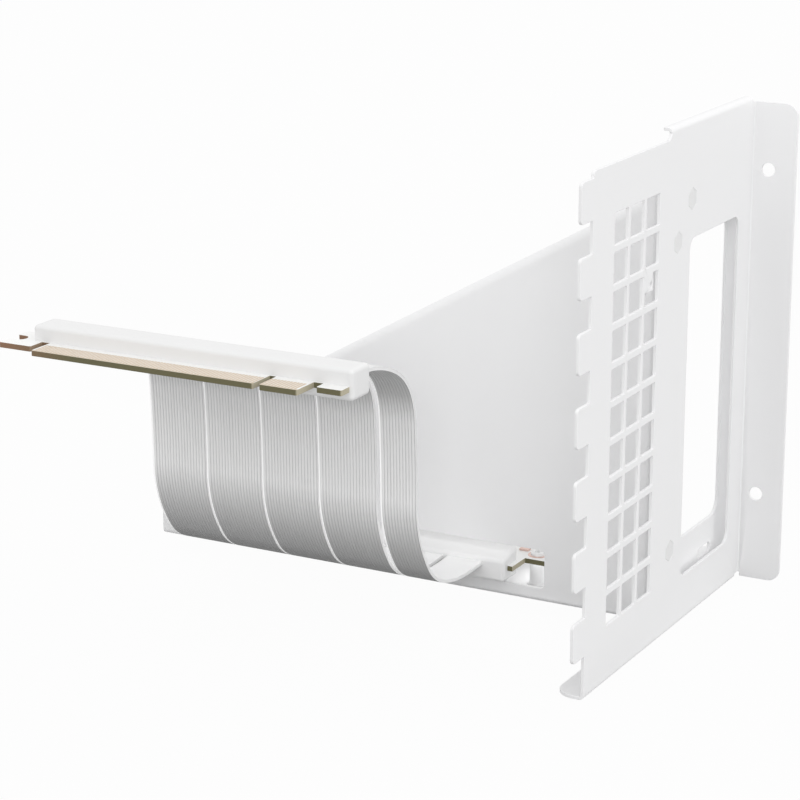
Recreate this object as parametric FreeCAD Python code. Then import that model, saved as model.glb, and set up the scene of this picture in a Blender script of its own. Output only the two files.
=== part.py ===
import FreeCAD, Part
import math
import os

# Vertical mount for a graphics card: a folded rear plate, a folded support bracket with a port
# plate and a tray, and a riser board whose ribbon cable ends in an edge plug.
# Millimetres. X points out of the rear of the case, Y towards the side the card faces, Z up.
# While building, X = 0 is the rear plate's outer face, Y = 0 the root of its tongues and
# Z = 0 the lower edge of the lowest tongue. The finished pieces are then moved so that the
# origin lies midway between the two flange screws, on the flange's near face.

# Sheet metal
plate_thickness = 1.0
bracket_thickness = 1.0
bend_radius = 0.6
soft_bend_radius = 2.0
bend_relief = 1.5

# Rear plate
plate_fold_y = 115.5
plate_bottom_z = -13.0
plate_top_margin = 1.88
raised_rise = 3.3
raised_start_y = 51.0
raised_slope = 1.5
top_lip_reach = 2.9
top_lip_corner = 0.5
top_lip_end_gap = 0.4
bottom_flange_reach = 9.4
bottom_flange_corner = 6.0
plate_corner = 1.2

# Tongues that hook into the case, one for each expansion slot
slot_pitch = 20.32
tongue_count = 7
tongue_height = 11.3
tongue_reach = 7.5
tongue_corner = 1.4

# Side flange and its two screw holes
flange_width = 13.7
flange_bottom_z = -12.7
flange_top_drop = 1.6
flange_corner = 4.0
flange_hole_diameter = 4.2
flange_hole_x = 5.0
flange_hole_bottom_z = 14.9
flange_hole_slots = 5

# Vent grille; one vent holds a small tab with a hole to tie a cable to
grille_columns = 3
grille_rows = 11
vent_width = 9.2
vent_height = 8.9
vent_pitch_y = 10.8
vent_pitch_z = 10.82
vent_first_y = 14.1
vent_first_z = 4.3
anchor_vent = (2, 8)
anchor_tab_width = 5.8
anchor_tab_height = 5.2
anchor_hole_diameter = 1.8
anchor_hole_inset = 1.7

# Window that the card's sockets look through, from below the port opening up to its top line
window_near_y = 67.95
window_width = 37.85
window_bottom_drop = 8.5
window_corner = 3.5

# Spacers between the rear plate and the port plate; each rise is above the port opening's edge
plate_gap = 3.5
spacer_top_y = 68.7
spacer_top_rise = 11.6
spacer_middle_y = 58.9
spacer_middle_rise = 0.7
spacer_bottom_y = 59.25
spacer_bottom_rise = 2.6
press_head_flats = 5.7
press_barrel_diameter = 5.0
screw_diameter = 3.0
thread_clearance = 0.05
screw_hole_clearance = 0.15
screw_head_diameter = 5.4
screw_head_height = 1.8
screw_head_chamfer = 0.5

# Support bracket: web, port plate, tray and card seat
web_y = 54.0
bracket_left_margin = 11.9
tray_bottom_z = -8.5
slope_rise = 0.5665
slope_drop_at_port = 2.8
slope_flange_depth = 10.0
corner_tab = 2.0
corner_slit = 0.5
tray_far_y = 124.0
tray_lip_corner = 2.0
tray_port_gap = 0.3
port_far_y = 117.5
port_opening_near_y = 66.0
port_opening_width = 42.2
port_opening_bottom_z = 10.0
port_opening_height = 94.0
port_opening_corner = 5.0
port_header = 18.0
port_slot_place = (97.7, 0.4)
port_slot_length = 10.0
port_slot_height = 3.0
port_slot_corner = 1.4
seat_reach = 12.0
seat_near_y = 66.5
seat_hole_diameter = 2.9
seat_hole_inset = 6.5
seat_width = 42.0
seat_corner = 2.0

# Cut-out in the web for the riser cable
cutout_right_x = -37.9
cutout_left_gap = 10.6
cutout_bottom_z = -4.1
cutout_top_z = 7.8
cutout_corner = 1.5

# Riser board on four standoffs
board_thickness = 1.57
board_lift = 7.67
board_right_x = -36.5
board_left_margin = 5.5
board_front_y = 61.3
board_back_y = 84.0
board_corner = 1.0
board_tongue_right_x = -47.7
board_tongue_left_inset = 1.95
board_tongue_front_y = 52.5
board_hole_right_margin = 9.0
board_hole_socket_gap = 3.55
board_hole_y = (65.9, 79.5)
board_screw_head_diameter = 4.6
board_screw_head_height = 1.1
board_screw_reach = 5.0

# Edge connector: contact pitch, key and lengths that socket and plug share
contact_pitch = 1.0
contacts_short = 11
contacts_long = 71
key_width = 1.9
key_to_contact = 1.5
edge_end_margin = 1.1

# Card socket on the riser board
socket_key_x = -78.1
socket_y = 70.0
socket_depth = 7.5
socket_height = 11.25
socket_end_wall = 2.1
socket_slot_clearance = 0.15
socket_slot_width = 2.0
socket_lip = 1.0
socket_channel_width = 5.0
key_clearance = 0.1
contact_width = 0.6
contact_thickness = 0.25
contact_wall_gap = 0.25
contact_tip_gap = 0.4

# Moulded block where the cable joins the riser board
block_right_inset = 1.6
block_left_wall = 1.4
block_front_y = 50.06
block_back_y = 59.5
block_bottom_z = -3.1
block_top_z = 4.0
block_round = 1.0

# Ribbon cable: widths from left to right, gaps between them
ribbon_thickness = 1.0
ribbon_left_x = -145.9
ribbon_widths = (18.6, 18.6, 18.6, 18.7, 11.4)
ribbon_gaps = (0.5, 0.5, 0.55, 1.65)
ribbon_block_z = 2.1
ribbon_plug_z = 78.3
ribbon_bends = ((23.0, 16.7), (8.6, 63.4), (7.8, -7.1))
arc_share = 0.45

# Edge plug at the far end of the cable
bar_right_wall = 1.05
bar_left_inset = 3.2
bar_front_y = -40.1
bar_back_y = -30.4
bar_bottom_z = 75.8
bar_top_z = 84.5
bar_round = 1.8
bar_lower_round = 0.8
plug_board_bottom_z = 78.37
plug_board_back_wall = 2.0
plug_key_x = -73.95
plug_tip_y = -49.33
plug_gap_front = 0.3
plug_tip_corner = 0.6
prong_gap = 2.65
prong_width = 10.8
prong_front_y = -45.9
prong_back_y = -41.3
hook_slot_back_y = -36.8
hook_slot_depth = 4.5
hook_round_share = 0.95
tab_gap = 2.85
tab_width = 7.65
tab_front_y = -44.3
finger_width = 0.7
finger_thickness = 0.05
finger_tip_gap = 0.5
finger_length = 6.0

# Places that follow from the sizes above
plate_inner_x = -plate_thickness
port_outer_x = plate_inner_x - plate_gap
port_inner_x = port_outer_x - bracket_thickness
tray_top_z = tray_bottom_z + bracket_thickness
board_bottom_z = tray_top_z + board_lift
board_top_z = board_bottom_z + board_thickness
plug_board_top_z = plug_board_bottom_z + board_thickness
plug_board_back_y = bar_back_y - plug_board_back_wall
tongue_top_z = (tongue_count - 1) * slot_pitch + tongue_height
plate_top_z = tongue_top_z + plate_top_margin
raised_top_z = plate_top_z + raised_rise
flange_top_z = raised_top_z - flange_top_drop
flange_hole_pitch = flange_hole_slots * slot_pitch
flange_hole_middle_z = flange_hole_bottom_z + flange_hole_pitch / 2
origin = FreeCAD.Vector(flange_hole_x, plate_fold_y, flange_hole_middle_z)
port_opening_top_z = port_opening_bottom_z + port_opening_height
port_top_z = port_opening_top_z + port_header
window_bottom_z = port_opening_bottom_z - window_bottom_drop
slope_at_port_z = port_top_z - slope_drop_at_port
spacer_places = {
    "top": (spacer_top_y, port_opening_top_z + spacer_top_rise),
    "middle": (spacer_middle_y, port_opening_top_z + spacer_middle_rise),
    "bottom": (spacer_bottom_y, port_opening_bottom_z + spacer_bottom_rise),
}
edge_start = key_to_contact - key_width / 2
edge_short = edge_start + (contacts_short - 1) * contact_pitch + edge_end_margin
edge_long = edge_start + (contacts_long - 1) * contact_pitch + edge_end_margin
socket_slot_right_x = socket_key_x + key_width / 2 + edge_short + socket_slot_clearance
socket_slot_left_x = socket_key_x - key_width / 2 - edge_long - socket_slot_clearance
socket_right_x = socket_slot_right_x + socket_end_wall
socket_left_x = socket_slot_left_x - socket_end_wall
board_hole_x = (board_right_x - board_hole_right_margin, socket_left_x - board_hole_socket_gap)
board_left_x = board_hole_x[1] - board_left_margin
board_tongue_left_x = socket_left_x + board_tongue_left_inset
bracket_left_x = board_left_x - bracket_left_margin
block_left_x = board_tongue_left_x - block_left_wall
block_right_x = board_tongue_right_x - block_right_inset
cutout_left_x = block_left_x - cutout_left_gap
plug_edge_left_x = plug_key_x - key_width / 2 - edge_long
plug_edge_right_x = plug_key_x + key_width / 2 + edge_short
prong_right_x = plug_edge_left_x - prong_gap
prong_left_x = prong_right_x - prong_width
hook_slot_end_x = prong_left_x + hook_slot_depth
tab_left_x = plug_edge_right_x + tab_gap
tab_right_x = tab_left_x + tab_width
bar_right_x = tab_right_x + bar_right_wall
bar_left_x = prong_right_x - bar_left_inset


# Drawing helpers: a flat point is (u, v), and a plane function puts it in space

def across_x(x):
    """The plane at that X, with u along Y and v along Z."""
    return lambda u, v: FreeCAD.Vector(x, u, v)


def across_y(y):
    """The plane at that Y, with u along X and v along Z."""
    return lambda u, v: FreeCAD.Vector(u, y, v)


def across_z(z):
    """The plane at that Z, with u along X and v along Y."""
    return lambda u, v: FreeCAD.Vector(u, v, z)


def rounded_wire(points, radii, plane):
    """A closed wire through flat points, with every corner rounded by its own radius."""
    corners = [FreeCAD.Vector(u, v, 0) for u, v in points]
    if not isinstance(radii, (list, tuple)):
        radii = [radii] * len(corners)
    starts = []
    middles = []
    ends = []
    for index, corner in enumerate(corners):
        back = (corners[index - 1] - corner).normalize()
        ahead = (corners[(index + 1) % len(corners)] - corner).normalize()
        half_angle = back.getAngle(ahead) / 2
        run = radii[index] / math.tan(half_angle)
        inward = (back + ahead).normalize() if radii[index] else back
        starts.append(corner + back * run)
        middles.append(corner + inward * (radii[index] / math.sin(half_angle) - radii[index]))
        ends.append(corner + ahead * run)
    edges = []
    for index, radius in enumerate(radii):
        if radius:
            arc = [plane(p.x, p.y) for p in (starts[index], middles[index], ends[index])]
            edges.append(Part.Arc(*arc).toShape())
        line_start = ends[index]
        line_end = starts[(index + 1) % len(corners)]
        if line_start.distanceToPoint(line_end) > 1e-6:
            edges.append(Part.makeLine(plane(line_start.x, line_start.y), plane(line_end.x, line_end.y)))
    return Part.Wire(edges)


def circle_wire(u, v, diameter, plane):
    """A circle about a flat point."""
    centre = plane(u, v)
    normal = (plane(u + 1, v) - centre).cross(plane(u, v + 1) - centre)
    return Part.Wire([Part.makeCircle(diameter / 2, centre, normal)])


def hexagon_wire(u, v, flats, plane):
    """A hexagon about a flat point, with two of its corners along v."""
    corner = flats / math.sqrt(3)
    turns = [math.pi / 6 + step * math.pi / 3 for step in range(6)]
    return rounded_wire([(u + corner * math.cos(t), v + corner * math.sin(t)) for t in turns], 0, plane)


def box_points(low_u, low_v, high_u, high_v):
    """The four corners of a rectangle."""
    return [(low_u, low_v), (high_u, low_v), (high_u, high_v), (low_u, high_v)]


def sheet(wires, direction):
    """A flat sheet: the first wire is its outline and the others are its holes."""
    return Part.makeFace(wires, "Part::FaceMakerBullseye").extrude(direction)


def strip_outline(path, radii, thickness):
    """Corners and radii of an even strip whose middle line follows an open path."""
    half = thickness / 2
    points = [FreeCAD.Vector(u, v, 0) for u, v in path]
    headings = [(b - a).normalize() for a, b in zip(points, points[1:])]
    normals = [FreeCAD.Vector(-d.y, d.x, 0) for d in headings]
    offsets = [normals[0]]
    turns = [0]
    for before, after in zip(range(len(normals) - 1), range(1, len(normals))):
        offsets.append((normals[before] + normals[after]) / (1 + normals[before].dot(normals[after])))
        turns.append(headings[before].cross(headings[after]).z)
    offsets.append(normals[-1])
    turns.append(0)
    middle_radii = [0, *radii, 0]
    left = []
    right = []
    for point, offset, turn, radius in zip(points, offsets, turns, middle_radii):
        change = math.copysign(half, turn) if radius else 0
        left_point = point + offset * half
        right_point = point - offset * half
        left.append(((left_point.x, left_point.y), radius - change))
        right.append(((right_point.x, right_point.y), radius + change))
    outline = left + right[::-1]
    return [p for p, _ in outline], [r for _, r in outline]


def bend(start, corner, end, thickness, plane, direction):
    """A rounded fold between two flat sheets, given by its middle line's ends and corner."""
    reach = math.dist(start, corner)
    points, radii = strip_outline([start, corner, end], [reach], thickness)
    return Part.Face(rounded_wire(points, radii, plane)).extrude(direction)


def cylinder(diameter, start, end):
    """A round bar between two points."""
    along = end - start
    return Part.makeCylinder(diameter / 2, along.Length, start, along)


def one_piece(shapes):
    """Flat sheets and folds joined into one solid."""
    joined = shapes[0].fuse(shapes[1:]).removeSplitter()
    if len(joined.Solids) != 1:
        raise ValueError(f"the sheet came out as {len(joined.Solids)} solids")
    return joined.Solids[0]


# Rear plate

def tongue_edge():
    """Corners and radii up the plate's near edge, round every tongue."""
    points = []
    radii = []
    for index in range(tongue_count):
        low = index * slot_pitch
        high = low + tongue_height
        points += [(0, low), (-tongue_reach, low), (-tongue_reach, high), (0, high)]
        radii += [0, tongue_corner, tongue_corner, 0]
    return points, radii


def vent_wires(column, row, plane):
    """One vent of the grille; the anchor's vent is cut round its tab, which has a hole."""
    low_y = vent_first_y + column * vent_pitch_y
    low_z = vent_first_z + row * vent_pitch_z
    vent = box_points(low_y, low_z, low_y + vent_width, low_z + vent_height)
    if (column, row) != anchor_vent:
        return [rounded_wire(vent, 0, plane)]
    tab_y = low_y + anchor_tab_width
    tab_z = low_z + vent_height - anchor_tab_height
    tab = [(tab_y, low_z + vent_height), (tab_y, tab_z), (low_y, tab_z)]
    hole_y = tab_y - anchor_hole_inset
    hole_z = tab_z + anchor_hole_inset
    return [
        rounded_wire([*vent[:3], *tab], 0, plane),
        circle_wire(hole_y, hole_z, anchor_hole_diameter, plane),
    ]


def make_rear_plate():
    """The folded plate with tongues, grille, window, side flange, bottom flange and top lip."""
    fold = bend_radius + plate_thickness / 2
    middle_x = -plate_thickness / 2
    face_bottom = plate_bottom_z + plate_thickness + bend_radius
    face_top = raised_top_z - plate_thickness - bend_radius
    face_far = plate_fold_y - bend_radius
    edge_points, edge_radii = tongue_edge()
    raised_foot = raised_start_y + raised_slope
    outline = [
        (0, face_bottom),
        *edge_points,
        (0, plate_top_z),
        (raised_start_y, plate_top_z),
        (raised_foot, face_top),
        (face_far, face_top),
        (face_far, face_bottom),
    ]
    radii = [0, *edge_radii, plate_corner, 0, 0, 0, 0]
    outer = across_x(0)
    holes = [
        rounded_wire(
            box_points(
                window_near_y,
                window_bottom_z,
                window_near_y + window_width,
                port_opening_top_z,
            ),
            window_corner,
            outer,
        )
    ]
    for column in range(grille_columns):
        for row in range(grille_rows):
            holes += vent_wires(column, row, outer)
    for y, z in spacer_places.values():
        holes.append(hexagon_wire(y, z, press_head_flats, outer))
    face = sheet([rounded_wire(outline, radii, outer), *holes], FreeCAD.Vector(-plate_thickness, 0, 0))

    flange_y = plate_fold_y + plate_thickness / 2
    flange_fold = bend(
        (middle_x, face_far),
        (middle_x, flange_y),
        (middle_x + fold, flange_y),
        plate_thickness,
        across_z(face_bottom),
        FreeCAD.Vector(0, 0, face_top - face_bottom),
    )
    flange_plane = across_y(plate_fold_y)
    flange_outline = box_points(bend_radius, flange_bottom_z, flange_width, flange_top_z)
    flange_hole_z = (flange_hole_bottom_z, flange_hole_bottom_z + flange_hole_pitch)
    flange_holes = [
        circle_wire(flange_hole_x, z, flange_hole_diameter, flange_plane) for z in flange_hole_z
    ]
    flange = sheet(
        [rounded_wire(flange_outline, [0, flange_corner, flange_corner, 0], flange_plane), *flange_holes],
        FreeCAD.Vector(0, plate_thickness, 0),
    )

    bottom_z = plate_bottom_z + plate_thickness / 2
    bottom_far = face_far - bend_relief
    bottom_fold = bend(
        (middle_x, face_bottom),
        (middle_x, bottom_z),
        (middle_x - fold, bottom_z),
        plate_thickness,
        across_y(0),
        FreeCAD.Vector(0, bottom_far, 0),
    )
    bottom_outline = box_points(-bottom_flange_reach, 0, middle_x - fold, bottom_far)
    bottom_flange = sheet(
        [rounded_wire(bottom_outline, [bottom_flange_corner, 0, 0, plate_corner], across_z(plate_bottom_z))],
        FreeCAD.Vector(0, 0, plate_thickness),
    )

    lip_z = raised_top_z - plate_thickness / 2
    lip_far = face_far - top_lip_end_gap
    lip_fold = bend(
        (middle_x, face_top),
        (middle_x, lip_z),
        (middle_x - fold, lip_z),
        plate_thickness,
        across_y(raised_foot),
        FreeCAD.Vector(0, lip_far - raised_foot, 0),
    )
    lip_outline = box_points(-top_lip_reach, raised_foot, middle_x - fold, lip_far)
    lip_radii = [top_lip_corner, 0, 0, top_lip_corner]
    lip = sheet(
        [rounded_wire(lip_outline, lip_radii, across_z(raised_top_z))],
        FreeCAD.Vector(0, 0, -plate_thickness),
    )
    return one_piece([face, flange_fold, flange, bottom_fold, bottom_flange, lip_fold, lip])


# Support bracket

def slope_z(x):
    """Height of the web's slanted top edge at that X."""
    return slope_at_port_z + (x - port_inner_x) * slope_rise


def make_web(web_right, web_bottom):
    """The upright wedge behind the card, with the cable's cut-out."""
    slope_drop = (bracket_thickness + soft_bend_radius) * math.hypot(1, slope_rise)
    tab_left = web_right - corner_tab
    outline = [
        (bracket_left_x, web_bottom),
        (web_right, web_bottom),
        (web_right, slope_z(web_right)),
        (tab_left, slope_z(web_right)),
        (tab_left, slope_z(tab_left) - slope_drop),
        (bracket_left_x, slope_z(bracket_left_x) - slope_drop),
    ]
    cutout = box_points(cutout_left_x, cutout_bottom_z, cutout_right_x, cutout_top_z)
    near = across_y(web_y)
    return sheet(
        [rounded_wire(outline, 0, near), rounded_wire(cutout, cutout_corner, near)],
        FreeCAD.Vector(0, bracket_thickness, 0),
    )


def make_slope_flange(flange_right):
    """The soft fold and flange along the web's slanted top edge."""
    tilt = math.hypot(1, slope_rise)
    along = FreeCAD.Vector(1 / tilt, 0, slope_rise / tilt)
    upward = FreeCAD.Vector(-slope_rise / tilt, 0, 1 / tilt)
    start = FreeCAD.Vector(bracket_left_x, 0, slope_z(bracket_left_x))
    spare = slope_flange_depth
    length = (flange_right - bracket_left_x) * tilt + 2 * spare

    def slanted(rise, y):
        """The plane square to the slanted edge, with u up from the edge and v along Y."""
        return start - along * spare + upward * rise + FreeCAD.Vector(0, y, 0)

    half = bracket_thickness / 2
    reach = soft_bend_radius + half
    path = [
        (-half - reach, web_y + half),
        (-half, web_y + half),
        (-half, web_y + slope_flange_depth),
    ]
    points, radii = strip_outline(path, [reach], bracket_thickness)
    strip = Part.Face(rounded_wire(points, radii, slanted)).extrude(along * length)
    trim = Part.makeBox(
        flange_right - bracket_left_x,
        2 * slope_flange_depth,
        slope_z(flange_right) - slope_z(bracket_left_x) + 4 * spare,
        FreeCAD.Vector(bracket_left_x, web_y - half, slope_z(bracket_left_x) - 2 * spare),
    )
    return strip.common(trim)


def make_tray(tray_near, tray_right):
    """The tray under the card, with its downturned far lip and the standoffs' foot holes."""
    fold = bend_radius + bracket_thickness / 2
    far_flat = tray_far_y - bracket_thickness - bend_radius
    outline = box_points(bracket_left_x, tray_near, tray_right, far_flat)
    low = across_z(tray_bottom_z)
    feet = [hexagon_wire(x, y, press_head_flats, low) for x in board_hole_x for y in board_hole_y]
    floor = sheet([rounded_wire(outline, 0, low), *feet], FreeCAD.Vector(0, 0, bracket_thickness))
    middle_z = tray_bottom_z + bracket_thickness / 2
    middle_y = tray_far_y - bracket_thickness / 2

    def end_plane(y, z):
        """The plane at the bracket's left end."""
        return FreeCAD.Vector(bracket_left_x, y, z)

    lip_fold = bend(
        (far_flat, middle_z),
        (middle_y, middle_z),
        (middle_y, middle_z - fold),
        bracket_thickness,
        end_plane,
        FreeCAD.Vector(tray_right - bracket_left_x, 0, 0),
    )
    lip_outline = box_points(bracket_left_x, plate_bottom_z, tray_right, middle_z - fold)
    lip_radii = [tray_lip_corner, tray_lip_corner, 0, 0]
    lip = sheet(
        [rounded_wire(lip_outline, lip_radii, across_y(tray_far_y))],
        FreeCAD.Vector(0, -bracket_thickness, 0),
    )
    return [floor, lip_fold, lip]


def make_port_plate(port_near, port_flat_top):
    """The plate behind the rear plate, with its opening, slot and the card's screw seat."""
    outer = across_x(port_outer_x)
    inward = FreeCAD.Vector(-bracket_thickness, 0, 0)
    outline = box_points(port_near, tray_bottom_z, port_far_y, port_flat_top)
    opening = box_points(
        port_opening_near_y,
        port_opening_bottom_z,
        port_opening_near_y + port_opening_width,
        port_opening_bottom_z + port_opening_height,
    )
    holes = [rounded_wire(opening, port_opening_corner, outer)]
    slot_y, slot_z = port_slot_place
    half_length = port_slot_length / 2
    half_height = port_slot_height / 2
    slot = box_points(
        slot_y - half_length,
        slot_z - half_height,
        slot_y + half_length,
        slot_z + half_height,
    )
    holes.append(rounded_wire(slot, port_slot_corner, outer))
    for y, z in spacer_places.values():
        holes.append(circle_wire(y, z, screw_diameter + 2 * screw_hole_clearance, outer))
    shapes = [sheet([rounded_wire(outline, [0, plate_corner, 0, 0], outer), *holes], inward)]

    fold = bend_radius + bracket_thickness / 2
    middle_x = port_outer_x - bracket_thickness / 2
    middle_z = port_top_z - bracket_thickness / 2
    seat_far_y = seat_near_y + seat_width
    shapes.append(
        bend(
            (middle_x, port_flat_top),
            (middle_x, middle_z),
            (middle_x - fold, middle_z),
            bracket_thickness,
            across_y(seat_near_y),
            FreeCAD.Vector(0, seat_width, 0),
        )
    )
    seat_end_x = port_inner_x - seat_reach
    top = across_z(port_top_z)
    seat_outline = box_points(seat_end_x, seat_near_y, middle_x - fold, seat_far_y)
    seat_middle_y = seat_near_y + seat_width / 2
    seat_hole_x = port_inner_x - seat_hole_inset
    seat_hole_y = (seat_middle_y - slot_pitch / 2, seat_middle_y + slot_pitch / 2)
    screws = [circle_wire(seat_hole_x, y, seat_hole_diameter, top) for y in seat_hole_y]
    seat = rounded_wire(seat_outline, [seat_corner, 0, 0, seat_corner], top)
    shapes.append(sheet([seat, *screws], FreeCAD.Vector(0, 0, -bracket_thickness)))
    return shapes


def make_support_bracket():
    """The folded bracket: web, slanted flange, tray and port plate from one sheet."""
    fold = bend_radius + bracket_thickness / 2
    half = bracket_thickness / 2
    web_right = port_inner_x - bend_radius
    web_bottom = tray_top_z + bend_radius
    port_near = web_y + bracket_thickness + bend_radius
    port_flat_top = port_top_z - bracket_thickness - bend_radius
    tray_right = port_inner_x - tray_port_gap
    slope_right = web_right - corner_tab - corner_slit

    def left_plane(y, z):
        """The plane at the bracket's left end."""
        return FreeCAD.Vector(bracket_left_x, y, z)

    tray_fold = bend(
        (web_y + half, web_bottom),
        (web_y + half, tray_bottom_z + half),
        (web_y + half + fold, tray_bottom_z + half),
        bracket_thickness,
        left_plane,
        FreeCAD.Vector(web_right - bend_relief - bracket_left_x, 0, 0),
    )
    shapes = [make_web(web_right, web_bottom), make_slope_flange(slope_right), tray_fold]
    shapes += make_tray(port_near, tray_right)
    shapes += make_port_plate(port_near, port_flat_top)

    shapes.append(
        bend(
            (web_right, web_y + half),
            (port_outer_x - half, web_y + half),
            (port_outer_x - half, web_y + half + fold),
            bracket_thickness,
            across_z(web_bottom),
            FreeCAD.Vector(0, 0, slope_z(web_right) - web_bottom),
        )
    )
    return one_piece(shapes)


# Spacers, standoffs and screws

def make_screw(seat, inward, head_diameter, head_height, reach):
    """A round-head screw: its head stands on the seat and its shank points inward."""
    crown = seat - inward * head_height
    head = cylinder(head_diameter, seat, crown)
    rim = [edge for edge in head.Edges if edge.BoundBox.Center.distanceToPoint(crown) < 1e-6]
    head = head.makeChamfer(screw_head_chamfer, rim)
    return head.fuse(cylinder(screw_diameter, seat, seat + inward * reach)).removeSplitter()


def press_spacer(head_wire, seat, end, sheet_thickness):
    """A press-in spacer: a hexagonal head flush in its sheet and a threaded round barrel."""
    along = (end - seat).normalize()
    head = sheet([head_wire], along * sheet_thickness)
    barrel = cylinder(press_barrel_diameter, seat, end)
    bore = cylinder(screw_diameter + 2 * thread_clearance, seat, end)
    return head.fuse(barrel).cut(bore).removeSplitter()


def make_plate_spacer(y, z):
    """A spacer pressed into the rear plate, which reaches the port plate."""
    head = hexagon_wire(y, z, press_head_flats, across_x(0))
    seat = FreeCAD.Vector(plate_inner_x, y, z)
    end = FreeCAD.Vector(port_outer_x, y, z)
    return press_spacer(head, seat, end, plate_thickness)


def make_spacer_screw(y, z):
    """The screw that holds the port plate against a spacer."""
    seat = FreeCAD.Vector(port_inner_x, y, z)
    reach = bracket_thickness + plate_gap - thread_clearance
    return make_screw(seat, FreeCAD.Vector(1, 0, 0), screw_head_diameter, screw_head_height, reach)


def make_board_standoff(x, y):
    """A spacer pressed into the tray, which carries the riser board."""
    head = hexagon_wire(x, y, press_head_flats, across_z(tray_bottom_z))
    seat = FreeCAD.Vector(x, y, tray_top_z)
    top = FreeCAD.Vector(x, y, board_bottom_z)
    return press_spacer(head, seat, top, bracket_thickness)


def make_board_screw(x, y):
    """A low-head screw that holds the riser board on a standoff."""
    seat = FreeCAD.Vector(x, y, board_top_z)
    down = FreeCAD.Vector(0, 0, -1)
    reach = board_thickness + board_screw_reach
    return make_screw(seat, down, board_screw_head_diameter, board_screw_head_height, reach)


# Riser board, socket and lower block

def make_riser_board():
    """The board behind the web, with a tongue that runs into the moulded block."""
    outline = [
        (board_left_x, board_back_y),
        (board_left_x, board_front_y),
        (board_tongue_left_x, board_front_y),
        (board_tongue_left_x, board_tongue_front_y),
        (board_tongue_right_x, board_tongue_front_y),
        (board_tongue_right_x, board_front_y),
        (board_right_x, board_front_y),
        (board_right_x, board_back_y),
    ]
    radii = [board_corner, board_corner, 0, 0, 0, 0, board_corner, board_corner]
    low = across_z(board_bottom_z)
    hole = screw_diameter + 2 * screw_hole_clearance
    holes = [circle_wire(x, y, hole, low) for x in board_hole_x for y in board_hole_y]
    return sheet([rounded_wire(outline, radii, low), *holes], FreeCAD.Vector(0, 0, board_thickness))


def make_socket_housing():
    """The card socket: a slot with a key, over two channels that hold the contacts."""
    body = Part.makeBox(
        socket_right_x - socket_left_x,
        socket_depth,
        socket_height,
        FreeCAD.Vector(socket_left_x, socket_y - socket_depth / 2, board_top_z),
    )
    key_half = key_width / 2 - key_clearance
    spans = [
        (socket_slot_left_x, socket_key_x - key_half),
        (socket_key_x + key_half, socket_slot_right_x),
    ]
    for low_x, high_x in spans:
        cuts = [(socket_channel_width, socket_height - socket_lip), (socket_slot_width, socket_height)]
        for width, height in cuts:
            corner = FreeCAD.Vector(low_x, socket_y - width / 2, board_top_z)
            body = body.cut(Part.makeBox(high_x - low_x, width, height, corner))
    return body.removeSplitter()


def contact_places(key_x):
    """X of every contact along an edge connector with its key at that X."""
    short = [key_x + key_to_contact + step * contact_pitch for step in range(contacts_short)]
    long = [key_x - key_to_contact - step * contact_pitch for step in range(contacts_long)]
    return short + long


def make_socket_contacts(side):
    """One row of spring contacts; side is -1 for the front row and 1 for the rear one."""
    wall = side * (socket_channel_width / 2 - contact_wall_gap - contact_thickness / 2)
    tip = side * (socket_slot_width / 2 - contact_thickness / 2)
    top_z = board_top_z + socket_height - socket_lip - contact_tip_gap
    half = contact_thickness / 2
    points = [
        (socket_y + wall - half, board_top_z),
        (socket_y + wall + half, board_top_z),
        (socket_y + tip + half, top_z),
        (socket_y + tip - half, top_z),
    ]
    contacts = []
    for x in contact_places(socket_key_x):
        profile = Part.Face(rounded_wire(points, 0, across_x(x - contact_width / 2)))
        contacts.append(profile.extrude(FreeCAD.Vector(contact_width, 0, 0)))
    return Part.makeCompound(contacts)


def moulded_bar(low, high, upper_round, lower_round, end_round):
    """A moulded bar along X with soft long edges and soft upright corners."""
    section = box_points(low.y, low.z, high.y, high.z)
    section_radii = [lower_round, lower_round, upper_round, upper_round]
    length = FreeCAD.Vector(high.x - low.x, 0, 0)
    along = Part.Face(rounded_wire(section, section_radii, across_x(low.x))).extrude(length)
    plan = box_points(low.x, low.y, high.x, high.y)
    upright = Part.Face(rounded_wire(plan, end_round, across_z(low.z)))
    return along.common(upright.extrude(FreeCAD.Vector(0, 0, high.z - low.z)))


def make_cable_block(riser_board):
    """The moulded block round the riser board's tongue."""
    low = FreeCAD.Vector(block_left_x, block_front_y, block_bottom_z)
    high = FreeCAD.Vector(block_right_x, block_back_y, block_top_z)
    return moulded_bar(low, high, block_round, block_round, block_round).cut(riser_board)


# Ribbon cable

def ribbon_route():
    """Middle line of the ribbons in Y and Z, from the lower block up to the plug."""
    (low_y, low_z), (rise_y, rise_z), (back_rise_y, back_y) = ribbon_bends
    return [
        (block_front_y, ribbon_block_z),
        (low_y, ribbon_block_z),
        (rise_y, low_z),
        (back_rise_y, rise_z),
        (back_y, ribbon_plug_z),
        (bar_back_y, ribbon_plug_z),
    ]


def route_radii(route):
    """The largest even arc that the two runs at each corner of the route allow."""
    radii = []
    for before, corner, after in zip(route, route[1:], route[2:]):
        heading = math.atan2(corner[1] - before[1], corner[0] - before[0])
        next_heading = math.atan2(after[1] - corner[1], after[0] - corner[0])
        turn = abs(math.remainder(next_heading - heading, math.tau))
        shorter = min(math.dist(before, corner), math.dist(corner, after))
        radii.append(arc_share * shorter / math.tan(turn / 2))
    return radii


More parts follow.
